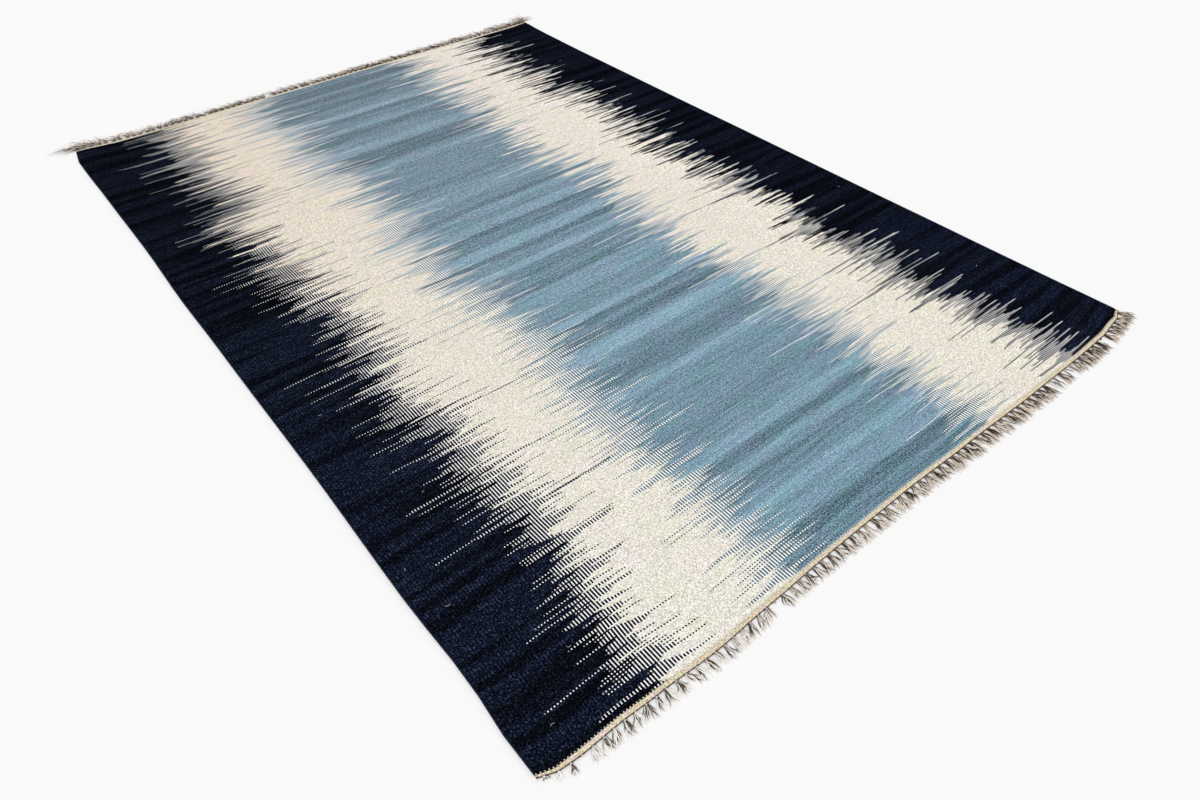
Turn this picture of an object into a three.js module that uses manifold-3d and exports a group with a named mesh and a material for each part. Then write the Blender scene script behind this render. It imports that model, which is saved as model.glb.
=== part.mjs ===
// A flat-woven kilim rug lying flat, in millimetres. X runs across the rug, Y along it and Z up.
// The near end is at -Y. The floor is the plane z = 0, and the origin is at the middle of the box.
import * as THREE from 'three';
import Module from 'manifold-3d';

const wasm = await Module();
wasm.setup();

// The cloth, measured from corner to corner, undyed headings included.
const cloth = { width: 1680, length: 2400, thickness: 3, edgeRound: 1.1 };
// The plain undyed strip that closes each short end of the weave.
const heading = { width: 8.8, cornerWidth: 4.5, cornerRun: 70, thickness: 2.4 };
// The row of overhand knots that holds the last pick, one knot for each tassel.
const knotRow = {
  pitch: 20.3, sideInset: 10, width: 3, knotWidth: 4.6, thickness: 2.6, knotHeight: 3.6, topInset: 0.25,
};
// Each tassel is the warp ends of one knot, gathered into one or two flattened locks.
const lock = { spread: 7.4, width: 4.2, height: 2.3, tipWidth: 1.8, tipHeight: 1, rootDepth: 1.2, steps: 2 };
// How unlike each other the locks are: stray and curl in degrees, raggedness as a share of their length.
const lockMix = { stray: 5, curl: 8, raggedness: 0.12 };
const pieceGap = 0.36; // kept between neighbouring pieces
const weldSize = 0.02; // corners nearer than this become one
const singleLockEvery = 5; // the tassels that are thin enough to be one lock
const selvedgeStep = 75; // spacing of the outline's points along the long sides

// How far each selvedge stands outside the straight side, by distance along the rug.
const sideSway = [
  { along: -1200, left: 2, right: 1 },
  { along: -1150, left: 4.5, right: 0 },
  { along: -1010, left: -2, right: -3 },
  { along: -820, left: 3.5, right: -5 },
  { along: -480, left: 1.5, right: -7 },
  { along: 0, left: 5, right: -8 },
  { along: 250, left: 8, right: -10 },
  { along: 500, left: 5, right: -10 },
  { along: 850, left: 8, right: -11.5 },
  { along: 1040, left: 11, right: -9 },
  { along: 1145, left: 11, right: -5.5 },
  { along: 1200, left: 0, right: 0 },
];

// How far each end bows out past the straight line between the cloth's nominal corners, by distance
// across. A negative bow is drawn in.
const nearBow = [
  { across: -840, bow: 0 },
  { across: -815, bow: 12 },
  { across: -770, bow: 15.5 },
  { across: -700, bow: 14.5 },
  { across: -620, bow: 17.5 },
  { across: -500, bow: 23 },
  { across: -380, bow: 19.5 },
  { across: -200, bow: 16 },
  { across: 0, bow: 16 },
  { across: 180, bow: 21 },
  { across: 440, bow: 27.5 },
  { across: 620, bow: 29 },
  { across: 720, bow: 27 },
  { across: 800, bow: 18 },
  { across: 840, bow: 4 },
];
const farBow = [
  { across: -840, bow: 5 },
  { across: -800, bow: 6 },
  { across: -770, bow: 1 },
  { across: -720, bow: -6 },
  { across: -620, bow: -9 },
  { across: -300, bow: -7 },
  { across: 100, bow: -8.5 },
  { across: 480, bow: -7 },
  { across: 700, bow: -10 },
  { across: 780, bow: -9.5 },
  { across: 840, bow: -7 },
];

// How the tassels lie: their lean in degrees towards +X, and their length.
const nearFringe = [
  { across: -840, lean: -10, reach: 6 },
  { across: -805, lean: -22, reach: 13 },
  { across: -775, lean: -18, reach: 20 },
  { across: -740, lean: -4, reach: 21 },
  { across: -650, lean: -14, reach: 21 },
  { across: -550, lean: 15, reach: 22 },
  { across: -470, lean: -2, reach: 21 },
  { across: -400, lean: -20, reach: 21 },
  { across: -300, lean: 10, reach: 23 },
  { across: 0, lean: 0, reach: 24 },
  { across: 240, lean: 18, reach: 29 },
  { across: 420, lean: 4, reach: 28 },
  { across: 640, lean: 4, reach: 27 },
  { across: 760, lean: 26, reach: 26 },
  { across: 840, lean: 33, reach: 32 },
];
const farFringe = [
  { across: -840, lean: -52, reach: 60 },
  { across: -812, lean: -38, reach: 58 },
  { across: -775, lean: -18, reach: 44 },
  { across: -620, lean: 8, reach: 36 },
  { across: -300, lean: -7, reach: 34 },
  { across: 60, lean: 9, reach: 36 },
  { across: 420, lean: -5, reach: 34 },
  { across: 660, lean: 8, reach: 36 },
  { across: 780, lean: 24, reach: 48 },
  { across: 840, lean: 38, reach: 60 },
];

// Knots whose tassel has worn away, counted from -X.
const bareKnots = { near: [4, 24, 77], far: [31] };

const colours = {
  weave: 0x7892a0,
  heading: 0xe0d5bf,
  fringe: 0xb5a794,
};

// Reads a column of a table at a place between its rows, easing from row to row.
function readTable(table, key, column, at) {
  const last = table.length - 1;
  const clamped = THREE.MathUtils.clamp(at, table[0][key], table[last][key]);
  let row = 0;
  while (row < last - 1 && table[row + 1][key] < clamped) {
    row += 1;
  }
  const share = THREE.MathUtils.smoothstep(clamped, table[row][key], table[row + 1][key]);
  return THREE.MathUtils.lerp(table[row][column], table[row + 1][column], share);
}

// A repeatable unevenness between -1 and 1, for what a hand makes a little different each time.
function uneven(index, kind) {
  const wave = Math.sin(index * 12.9898 + kind * 78.233) * 43758.5453;
  return 2 * (wave - Math.floor(wave)) - 1;
}

// The two ends differ in their side, their bow, how their tassels lie and which are missing.
const ends = {
  near: { side: -1, bowTable: nearBow, fringeTable: nearFringe, bare: bareKnots.near, kind: 1 },
  far: { side: 1, bowTable: farBow, fringeTable: farFringe, bare: bareKnots.far, kind: 7 },
};

// The place on the floor of a point given by its share across, -1 to 1, and its distance along.
function acrossAt(share, along) {
  const left = -cloth.width / 2 - readTable(sideSway, 'along', 'left', along);
  const right = cloth.width / 2 + readTable(sideSway, 'along', 'right', along);
  return THREE.MathUtils.lerp(left, right, (share + 1) / 2);
}

// The end's outer line, drawn in by inset.
function endPoint(end, share, inset) {
  const bow = readTable(end.bowTable, 'across', 'bow', (share * cloth.width) / 2);
  const along = cloth.length / 2 + bow - inset;
  return new THREE.Vector2(acrossAt(share, end.side * along), end.side * along);
}

// The heading narrows towards both selvedges, where the end is drawn in.
function headingWidthAt(share) {
  const fromCorner = ((1 - Math.abs(share)) * cloth.width) / 2;
  const full = THREE.MathUtils.smoothstep(fromCorner, 0, heading.cornerRun);
  return THREE.MathUtils.lerp(heading.cornerWidth, heading.width, full);
}

// Even shares from -1 to 1 with a spacing of about step millimetres.
function evenShares(length, step) {
  const count = Math.round(length / step);
  return Array.from({ length: count + 1 }, (_, i) => (2 * i) / count - 1);
}

// Every line across an end turns at the two corners and at each knot, so that neighbours stay parallel.
function endShares() {
  const span = cloth.width - 2 * knotRow.sideInset;
  const knots = evenShares(span, knotRow.pitch).map((share) => (share * span) / cloth.width);
  return [-1, ...knots, 1];
}

// Joins rings of points that run along a piece into one closed body.
function loftRings(rings) {
  const size = rings[0].length;
  const positions = rings.flat().flatMap((point) => [point.x, point.y, point.z]);
  const triangles = [];
  for (let ring = 0; ring < rings.length - 1; ring += 1) {
    for (let corner = 0; corner < size; corner += 1) {
      const here = ring * size + corner;
      const beside = ring * size + ((corner + 1) % size);
      triangles.push(here, beside, beside + size, here, beside + size, here + size);
    }
  }
  const lastRing = (rings.length - 1) * size;
  for (let corner = 1; corner < size - 1; corner += 1) {
    triangles.push(0, corner + 1, corner);
    triangles.push(lastRing, lastRing + corner, lastRing + corner + 1);
  }
  return { positions, triangles };
}

function toGeometry({ positions, triangles }) {
  const geometry = new THREE.BufferGeometry();
  geometry.setAttribute('position', new THREE.Float32BufferAttribute(positions, 3));
  geometry.setIndex(triangles);
  geometry.computeVertexNormals();
  return geometry;
}

function toSolid({ positions, triangles }) {
  return new wasm.Manifold(new wasm.Mesh({
    numProp: 3,
    vertProperties: new Float32Array(positions),
    triVerts: new Uint32Array(triangles),
  }));
}

function fromSolid(solid) {
  const mesh = solid.getMesh();
  const positions = Array.from(mesh.vertProperties);
  const triangles = Array.from(mesh.triVerts);
  return toGeometry({ positions, triangles });
}

// A point over the floor, offset from centre along a direction on the floor.
function overFloor(centre, direction, offset, z) {
  return new THREE.Vector3(centre.x + direction.x * offset, centre.y + direction.y * offset, z);
}

// The dyed weave: one slab with the rug's outline and softly rounded edges.
function weaveGeometry() {
  const insideHeading = (end) => endShares()
    .map((share) => endPoint(end, share, headingWidthAt(share) + pieceGap));
  const nearLine = insideHeading(ends.near);
  const farLine = insideHeading(ends.far);
  const sideLine = (share, from, to) => evenShares(to - from, selvedgeStep)
    .slice(1, -1)
    .map((part) => THREE.MathUtils.lerp(from, to, (part + 1) / 2))
    .map((along) => new THREE.Vector2(acrossAt(share, along), along));
  const rightLine = sideLine(1, nearLine.at(-1).y, farLine.at(-1).y);
  const leftLine = sideLine(-1, nearLine[0].y, farLine[0].y);
  const outline = [...nearLine, ...rightLine, ...farLine.reverse(), ...leftLine.reverse()];
  const geometry = new THREE.ExtrudeGeometry(new THREE.Shape(outline), {
    depth: cloth.thickness - 2 * cloth.edgeRound,
    bevelThickness: cloth.edgeRound,
    bevelSize: cloth.edgeRound,
    bevelOffset: -cloth.edgeRound,
    bevelSegments: 1,
  });
  return geometry.translate(0, 0, cloth.edgeRound);
}

// A heading: a thin strip along the end, as wide as the end is drawn in there.
function headingGeometry(end) {
  const rings = endShares().map((share) => {
    const outer = endPoint(end, share, 0);
    const inner = endPoint(end, share, headingWidthAt(share));
    const top = heading.thickness;
    const ring = [
      new THREE.Vector3(outer.x, outer.y, 0),
      new THREE.Vector3(inner.x, inner.y, 0),
      new THREE.Vector3(inner.x, inner.y, top),
      new THREE.Vector3(outer.x, outer.y, top),
    ];
    return end.side < 0 ? ring : ring.reverse();
  });
  return toGeometry(loftRings(rings));
}

// The line that the knots stand on: a corner at each end of the list, and a knot at every other place.
function knotLine(end) {
  return endShares().map((share) => endPoint(end, share, -pieceGap));
}

// A place on the knot line, some millimetres to one side of a knot.
function besideKnot(line, index, distance) {
  const neighbour = line[index + Math.sign(distance)];
  const towards = neighbour.clone().sub(line[index]).normalize();
  return line[index].clone().addScaledVector(towards, Math.abs(distance));
}

// The knotted backing: a low bar just outside the heading that swells at each knot.
function knotBar(end, line) {
  const rings = [];
  const outward = new THREE.Vector2(0, end.side);
  const addRing = (foot, width, height) => {
    rings.push([
      overFloor(foot, outward, 0, 0),
      overFloor(foot, outward, width, 0),
      overFloor(foot, outward, width, height),
      overFloor(foot, outward, width * knotRow.topInset, height),
    ]);
  };
  for (let index = 1; index < line.length - 1; index += 1) {
    addRing(line[index - 1].clone().lerp(line[index], 0.5), knotRow.width, knotRow.thickness);
    addRing(line[index], knotRow.knotWidth, knotRow.knotHeight);
  }
  addRing(line.at(-2).clone().lerp(line.at(-1), 0.5), knotRow.width, knotRow.thickness);
  return toSolid(loftRings(end.side < 0 ? rings.map((ring) => ring.reverse()) : rings));
}

// One lock of yarn ends: it starts inside the bar and lies along the floor, thinning to its tip.
function lockSolid(end, root, lean, reach, curl) {
  const rings = [];
  for (let step = 0; step <= lock.steps; step += 1) {
    const part = step / lock.steps;
    const angle = THREE.MathUtils.degToRad(lean + curl * part);
    const forward = new THREE.Vector2(Math.sin(angle), end.side * Math.cos(angle));
    const sideways = new THREE.Vector2(forward.y, -forward.x);
    const centre = root.clone().addScaledVector(forward, part * reach - (1 - part) * lock.rootDepth);
    const halfWidth = THREE.MathUtils.lerp(lock.width, lock.tipWidth, part * part) / 2;
    const height = THREE.MathUtils.lerp(lock.height, lock.tipHeight, part * part);
    rings.push([
      overFloor(centre, sideways, 0, height),
      overFloor(centre, sideways, halfWidth, 0),
      overFloor(centre, sideways, -halfWidth, 0),
    ]);
  }
  return toSolid(loftRings(rings));
}

// The fringe: the knotted backing with every tassel's locks fused to it by their roots.
function fringeGeometry(end) {
  const line = knotLine(end);
  const pieces = [knotBar(end, line)];
  for (let knot = 1; knot < line.length - 1; knot += 1) {
    if (end.bare.includes(knot)) {
      continue;
    }
    const single = knot % singleLockEvery === 0;
    for (const side of single ? [0] : [-1, 1]) {
      const strand = 2 * knot + (side > 0 ? 1 : 0);
      const root = single ? line[knot].clone() : besideKnot(line, knot, (side * lock.spread) / 2);
      root.y += end.side * knotRow.width;
      const mainLean = readTable(end.fringeTable, 'across', 'lean', root.x);
      const mainReach = readTable(end.fringeTable, 'across', 'reach', root.x);
      const lean = mainLean + lockMix.stray * uneven(strand, end.kind);
      const reach = mainReach * (1 + lockMix.raggedness * uneven(strand, end.kind + 1));
      pieces.push(lockSolid(end, root, lean, reach, lockMix.curl * uneven(strand, end.kind + 2)));
    }
  }
  return fromSolid(wasm.Manifold.union(pieces).asOriginal().simplify(weldSize));
}

function cottonMaterial(color) {
  return new THREE.MeshStandardMaterial({ color, roughness: 0.95, metalness: 0 });
}

function addPiece(group, name, geometry, color) {
  const mesh = new THREE.Mesh(geometry, cottonMaterial(color));
  mesh.name = name;
  group.add(mesh);
}

const rug = new THREE.Group();
addPiece(rug, 'cloth', weaveGeometry(), colours.weave);
addPiece(rug, 'heading_near', headingGeometry(ends.near), colours.heading);
addPiece(rug, 'heading_far', headingGeometry(ends.far), colours.heading);
addPiece(rug, 'fringe_near', fringeGeometry(ends.near), colours.fringe);
addPiece(rug, 'fringe_far', fringeGeometry(ends.far), colours.fringe);

// The origin goes to the middle of the whole rug, on the floor.
const box = new THREE.Box3().setFromObject(rug);
rug.position.set(-(box.min.x + box.max.x) / 2, -(box.min.y + box.max.y) / 2, -box.min.z);
rug.updateMatrixWorld(true);

export default rug;
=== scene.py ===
import math
import bpy
import numpy as np
from mathutils import Matrix, Vector, noise


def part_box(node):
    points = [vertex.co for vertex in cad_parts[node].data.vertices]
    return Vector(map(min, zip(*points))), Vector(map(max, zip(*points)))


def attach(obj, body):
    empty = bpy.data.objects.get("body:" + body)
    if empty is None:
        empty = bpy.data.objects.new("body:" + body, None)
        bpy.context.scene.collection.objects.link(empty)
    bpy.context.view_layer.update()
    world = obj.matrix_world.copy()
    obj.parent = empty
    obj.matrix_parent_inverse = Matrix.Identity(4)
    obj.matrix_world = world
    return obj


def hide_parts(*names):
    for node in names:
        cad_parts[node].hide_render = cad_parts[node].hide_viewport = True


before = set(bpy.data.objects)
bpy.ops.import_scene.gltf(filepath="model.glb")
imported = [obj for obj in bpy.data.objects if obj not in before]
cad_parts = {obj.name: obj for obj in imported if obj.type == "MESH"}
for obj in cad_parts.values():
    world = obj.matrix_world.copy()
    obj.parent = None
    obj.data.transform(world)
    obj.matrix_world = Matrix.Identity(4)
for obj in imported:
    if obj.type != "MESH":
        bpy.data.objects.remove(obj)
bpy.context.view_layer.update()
scene = bpy.context.scene
scene.view_settings.view_transform = "Standard"
mm = 0.001

# The kilim's own sizes in metres. Across runs from its left side to its right, and along from its
# near end to its far one: both in mm from its middle, or as a share from 0 to 1.
kilim = {
    "width": 1.68,
    "length": 2.40,
    "thickness": 0.003,
    "warpPitch": 3.12 * mm,
    "pickPitch": 2.9 * mm,
    "leftOfBox": 0.851,  # from the middle of the rug to the cloth's left side
    "nearOfBox": 1.2275,  # and to the near heading's outer side
}
rugMiddle = Vector((
    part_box("cloth")[0].x + kilim["leftOfBox"],
    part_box("heading_near")[0].y + kilim["nearOfBox"],
    0,
))


# Camera

cameraStand = {
    "fromMiddle": (-1.04959, -1.60846, 1.19632),  # metres
    "heading": 38.830,  # degrees from +Y towards +X
    "dip": 44.457,
    "roll": -0.481,
    "lens": 24.409,  # mm
    "sensorWidth": 36,
    "nearest": 0.05,  # metres
}


def placeCamera(stand):
    camera = bpy.data.objects.new("camera", bpy.data.cameras.new("camera"))
    camera.data.sensor_width = stand["sensorWidth"]
    camera.data.lens = stand["lens"]
    camera.data.clip_start = stand["nearest"]
    turn = Matrix.Rotation(-math.radians(stand["heading"]), 4, "Z")
    tip = Matrix.Rotation(math.radians(90 - stand["dip"]), 4, "X")
    roll = Matrix.Rotation(math.radians(stand["roll"]), 4, "Z")
    place = Matrix.Translation(rugMiddle + Vector(stand["fromMiddle"]))
    camera.matrix_world = place @ turn @ tip @ roll
    scene.collection.objects.link(camera)
    scene.camera = camera


placeCamera(cameraStand)
print("camera placed")


# Node trees: a Reading is a number inside one, and sums and products of readings are Math nodes

class Reading:
    def __init__(self, tree, socket):
        self.tree = tree
        self.socket = socket

    def calc(self, operation, *others):
        node = newNode("ShaderNodeMath", tree=self.tree, operation=operation)
        for socket, value in zip(node.inputs, (self, *others)):
            feed(self.tree, socket, value)
        return output(node)

    def __add__(self, other):
        return self.calc("ADD", other)

    def __sub__(self, other):
        return self.calc("SUBTRACT", other)

    def __mul__(self, other):
        return self.calc("MULTIPLY", other)

    def __truediv__(self, other):
        return self.calc("DIVIDE", other)

    def __pow__(self, other):
        return self.calc("POWER", other)

    def fromOne(self):
        return (self * -1) + 1

    # Goes evenly from one range to another, and stays inside the second.
    def between(self, low, high, toLow, toHigh, shape="LINEAR"):
        ranges = {"Value": self, "From Min": low, "From Max": high, "To Min": toLow, "To Max": toHigh}
        return output(newNode("ShaderNodeMapRange", ranges, interpolation_type=shape), "Result")

    # Eases from 0 at low to 1 at high.
    def rise(self, low, high):
        return self.between(low, high, 0.0, 1.0, "SMOOTHSTEP")

    # For a reading from 0 to 1: goes evenly from one value to the other.
    def fade(self, first, last):
        return self.between(0.0, 1.0, first, last)

    # For a reading that is -1 on the left of the rug and 1 on the right: one value for each.
    def pickSide(self, left, right):
        return self.between(-1.0, 1.0, left, right)


def feed(tree, socket, value):
    if isinstance(value, Reading):
        tree.links.new(value.socket, socket)
    else:
        socket.default_value = value


def treeOf(values):
    return next(value.tree for value in values if isinstance(value, Reading))


# A new node in the tree of the readings that it takes, or in a given one where it takes none.
def newNode(kind, inputs=None, tree=None, **settings):
    inputs = inputs or {}
    tree = tree or treeOf(inputs.values())
    node = tree.nodes.new(kind)
    for name, value in settings.items():
        setattr(node, name, value)
    for name, value in inputs.items():
        feed(tree, node.inputs[name], value)
    return node


def output(node, name=0):
    return Reading(node.id_data, node.outputs[name])


def vector(x=0.0, y=0.0, z=0.0):
    return output(newNode("ShaderNodeCombineXYZ", {"X": x, "Y": y, "Z": z}))


def split(place):
    node = newNode("ShaderNodeSeparateXYZ", {"Vector": place})
    return output(node, "X"), output(node, "Y"), output(node, "Z")


# Soft noise, -1 to 1, over a number or over a pair of numbers.
def drift(x, y=0.0, detail=0.0, roughness=0.5):
    inputs = {"Vector": vector(x, y), "Scale": 1.0, "Detail": detail, "Roughness": roughness}
    return (output(newNode("ShaderNodeTexNoise", inputs, noise_dimensions="2D"), "Fac") - 0.5) * 2


# An unrelated number from 0 to 1 for each pair of whole numbers.
def lot(x, y):
    place = {"Vector": vector(x, y)}
    return output(newNode("ShaderNodeTexWhiteNoise", place, noise_dimensions="2D"), "Value")


def mixColour(share, first, second, blend="MIX"):
    tree = treeOf((share, first, second))
    node = newNode("ShaderNodeMix", tree=tree, data_type="RGBA", blend_type=blend)
    feed(tree, node.inputs["Factor"], share)
    feed(tree, node.inputs[6], first)
    feed(tree, node.inputs[7], second)
    return output(node, 2)


def scaleColour(colour, by):
    inputs = {"Vector": colour, "Scale": by}
    return output(newNode("ShaderNodeVectorMath", inputs, operation="SCALE"))


# A value that a mesh holds at each of its points.
def held(tree, name):
    return output(newNode("ShaderNodeAttribute", tree=tree, attribute_name=name), "Fac")


def objectPlace(tree):
    return split(output(newNode("ShaderNodeTexCoord", tree=tree), "Object"))


# Adds up readings, each with its weight, on top of a base.
def weigh(readings, weights):
    total = weights["base"]
    for name, weight in weights.items():
        if name != "base":
            total = readings[name] * weight + total
    return total


# A colour given as on a screen, 0 to 255, as the linear colour that shaders take.
def dye(red, green, blue):
    linear = [((part / 255 + 0.055) / 1.055) ** 2.4 for part in (red, green, blue)]
    return (*linear, 1.0)


# A table written as rows of numbers under the names of their columns.
def chart(columns, rows):
    return [dict(zip(columns.split(), row)) for row in rows]


def newGroup(name, kind, inputs, outputs):
    group = bpy.data.node_groups.new(name, kind)
    for label, (socketType, default) in inputs.items():
        socket = group.interface.new_socket(label, in_out="INPUT", socket_type=socketType)
        if default is not None:
            socket.default_value = default
    for label, socketType in outputs.items():
        group.interface.new_socket(label, in_out="OUTPUT", socket_type=socketType)
    start = group.nodes.new("NodeGroupInput")
    return {label: output(start, label) for label in inputs}, group.nodes.new("NodeGroupOutput")


number = "NodeSocketFloat"


# A shader group that takes and gives only numbers.
def shaderGroup(name, inputs, outputs):
    numbers = {label: (number, default) for label, default in inputs.items()}
    return newGroup(name, "ShaderNodeTree", numbers, dict.fromkeys(outputs, number))


nodeRows = {"perRow": 14, "across": 190, "down": 240}


# Lays out a tree's nodes in rows, so that it can be read when opened.
def tidyTree(tree):
    for index, node in enumerate(tree.nodes):
        row, place = divmod(index, nodeRows["perRow"])
        node.location = (place * nodeRows["across"], -row * nodeRows["down"])


def closeGroup(end, results):
    group = end.id_data
    for label, value in results.items():
        feed(group, end.inputs[label], value)
    tidyTree(group)
    return group


# Places a shader group, and gives what it puts out by name.
def useGroup(group, inputs):
    node = newNode("ShaderNodeGroup", inputs, node_tree=group)
    return {socket.name: output(node, socket.name) for socket in node.outputs}


# Shared effects

# Where each effect reads its noise, so that no two of them are alike.
noisePlace = {
    "broadFuzz": 7.3, "hue": 60, "grain": 30, "clump": 90, "merge": 3, "innerEdge": 40, "depth": 9,
    "pinker": 70,
}
noiseStep = {"pick": 3.37, "comingBack": 1.61, "leanRow": 5.3, "side": 5, "innerSide": 7}
lots = {"shift": 3.0, "wander": 8.0, "stray": 17.0, "plain": 29.0, "plainPlace": 31, "sideStep": 3}


# Where a point lies in the weave. Each pick shows as a row of small oval floats over every other
# warp, and the next pick's floats lie between them, half a pick further on.
def makeWeaveCells():
    given, end = shaderGroup("weave cells", {
        "Across": 0.0,
        "Along": 0.0,
        "Warp Pitch": 3.12,
        "Pick Pitch": 2.9,
        "Roundness": 0.3,
        "Odd Share": 0.0,  # above 0 the odd picks' floats are the wider ones
        "Flatness": 0.6,  # below 1 a float is flat on top
        "End Drop": 0.5,  # how far a float has sunk at its ends, where it goes under
    }, ("Parity", "Pick", "Pick Along", "Height", "Own"))
    warps = given["Across"] / given["Warp Pitch"]
    picks = given["Along"] / given["Pick Pitch"]
    swell = (picks * math.tau).calc("COSINE") * given["Roundness"]
    ridge = (warps * math.pi).calc("SINE") - swell - given["Odd Share"]
    parity = ridge.calc("LESS_THAN", 0.0)
    rows = picks + parity * 0.5
    pick = rows.calc("FLOOR")
    warp = ((warps - 0.5 - parity) * 0.5).calc("ROUND") * 2 + parity
    rib = ridge.calc("ABSOLUTE").calc("MINIMUM", 1.0) ** given["Flatness"]
    fromPickMiddle = ((rows - pick) * 2 - 1).calc("ABSOLUTE")
    return closeGroup(end, {
        "Parity": parity,
        "Pick": pick,
        "Pick Along": (pick + 0.5 - parity * 0.5) * given["Pick Pitch"],
        "Height": rib * ((fromPickMiddle ** 3) * given["End Drop"]).fromOne(),
        "Own": lot(warp, pick),
    })


# Wool or cotton fuzz: a fine mottling around 0.5 that is stretched along the yarn.
def makeYarnFuzz():
    given, end = shaderGroup("yarn fuzz", {
        "Across": 0.0,
        "Along": 0.0,
        "Across Size": 2.0,
        "Along Size": 1.0,
        "Fine Share": 0.35,
        "Broad Share": 0.15,
        "Broad Across": 0.21,  # how fast the broad mottling changes beside the fine
        "Broad Along": 0.16,
    }, ("Fuzz",))
    x = given["Across"] / given["Across Size"]
    y = given["Along"] / given["Along Size"]
    broadX = x * given["Broad Across"] + noisePlace["broadFuzz"]
    fine = drift(x, y, detail=2.0) * given["Fine Share"]
    broad = drift(broadX, y * given["Broad Along"]) * given["Broad Share"]
    return closeGroup(end, {"Fuzz": fine + broad + 0.5})


# How the dyed yarn varies, each from -1 to 1. Line is a pick's own depth of dye, which comes and
# goes along it. Hue is where one batch leans to another colour. Grain is the spun wool's own
# unevenness, and Clump is where several yarns together stand a little prouder; the weave is
# painted lighter there, as a painted highlight.
def makeYarnChange():
    given, end = shaderGroup("yarn change", {
        "Across": 0.0,
        "Along": 0.0,
        "Pick": 0.0,
        "Parity": 0.0,
        "Line Length": 130.0,
        "Hue Size": 90.0,
        "Hue Flatness": 2.4,
        "Grain Size": 3.0,
        "Clump Size": 7.0,
        "Clump Flatness": 1.2,
    }, ("Line", "Hue", "Grain", "Clump"))

    def patches(name, flatness=1, **look):
        size = given[name + " Size"]
        y = given["Along"] / size * flatness + noisePlace[name.lower()]
        return drift(given["Across"] / size, y, **look)

    row = given["Pick"] * noiseStep["pick"] + given["Parity"] * noiseStep["comingBack"]
    return closeGroup(end, {
        "Line": drift(given["Across"] / given["Line Length"], row, detail=1.0),
        "Hue": patches("Hue", given["Hue Flatness"]),
        "Grain": patches("Grain", detail=1.0, roughness=0.9),
        "Clump": patches("Clump", given["Clump Flatness"], detail=1.0, roughness=0.7),
    })


weaveCells = makeWeaveCells()
yarnFuzz = makeYarnFuzz()
yarnChange = makeYarnChange()


# The dyed weft. Its yarn was dyed before it was woven, so each pick carries the bands in its own
# place: picks that go and come back are out by opposite amounts, and show on every other warp.
# Navy and blue are the edges' distances from the middle in mm. Merge is how far the feathers run
# into one another, length is how long they are, and lean is how much wider the darker floats are
# than the cream ones. Plain is the share of picks whose floats are all one colour.
bandEdges = chart("along navy blue merge length lean plain", [
    (-1200, 599, 290, 0.12, 1.00, 0.40, 0.05),
    (-1040, 597, 291, 0.14, 1.00, 0.40, 0.05),
    (-850, 567, 294, 0.14, 1.00, 0.42, 0.06),
    (-660, 583, 298, 0.22, 1.00, 0.45, 0.12),
    (-500, 568, 288, 0.30, 1.00, 0.48, 0.18),
    (-370, 606, 268, 0.36, 1.02, 0.50, 0.24),
    (-220, 582, 276, 0.44, 1.04, 0.50, 0.30),
    (-50, 574, 297, 0.50, 1.06, 0.50, 0.36),
    (120, 593, 290, 0.54, 1.08, 0.50, 0.42),
    (330, 595, 260, 0.60, 1.12, 0.50, 0.50),
    (450, 618, 258, 0.66, 1.20, 0.52, 0.52),
    (550, 585, 282, 0.62, 1.12, 0.50, 0.54),
    (660, 561, 282, 0.54, 1.02, 0.50, 0.54),
    (760, 587, 299, 0.56, 1.03, 0.50, 0.54),
    (860, 566, 279, 0.58, 1.02, 0.50, 0.54),
    (980, 582, 290, 0.58, 1.02, 0.50, 0.54),
    (1200, 555, 272, 0.54, 1.00, 0.50, 0.54),
])
# In mm where it is a length. Pairs are for the left and right sides, unless they say otherwise.
dyeing = {
    "featherEvery": 16,  # from one feather to the next
    "featherLeast": 38,  # how far a feather's tips are from its middle
    "featherMost": 158,
    "featherRarity": 1.15,  # above 1 the long feathers are fewer
    "featherPoint": 1.5,  # above 1 the tips draw out thin
    "mergeEvery": 55,
    "mergeFrom": (-0.5, 0.5),
    "ownPlace": 20,  # how far a feather may lie from the edge's own line
    "edgeWander": 26,
    "wanderEvery": 30,
    "pickShift": (1.0, 1.5),  # how unlike its neighbours each pick is, at pickShiftAlong
    "pickShiftAlong": (-900.0, 0.0),
    "pickShiftMiddle": 0.6,
    "strayShift": 80,  # a few picks that are far out
    "strayRarity": 14,
    "plainSides": (0.55, 1.5),  # how many plain picks there are, of the chart's share
    "plainMost": 0.62,
    "plainPairsFrom": (-200, -450),  # past here along they come in twos
    "plainShift": 0.15,  # how much of the feather's shift they keep
    "plainPlace": 95,  # how far out of place the edge lies on them
    "plainPlaceGrows": (0.5, 2.0),  # shares of that, at plainPlaceAlong
    "plainPlaceAlong": (-1000.0, 0.0),
    "plainPlaceMiddle": 0.55,
    "pickWander": 12,
    "navyBleed": 3.5,
    "blueBleed": 15,
    "navyWider": 6,  # how far the navy edges lie to the left of even, gone by navyWiderAlong's end
    "navyWiderAlong": (200.0, 1000.0),
    "blueWider": 10,  # and how far the blue ones do
    "blueLean": 0.12,  # how much wider the blue floats are than the cream ones between them
    "farSideLean": 0.04,
    "leanSlope": (0.25, -0.22),  # how fast the cream floats thin out over leanRun into the navy
    "leanRun": 80,
    "leanTurn": 40.0,  # half the width over which blue's lean turns into navy's
    "leanEvery": 5.8,  # floats change in width from one row of this height to the next
    "leanAlongPick": 110,  # and over this distance along a row
    "leanChange": (0.45, 2.0),  # by so much where the weft is tightly packed
    "leanChangeLeast": 0.1,
    "leanChangeBlue": 0.5,  # the share of it beside the blue
    "leanPacked": 1.7,
}


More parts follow.
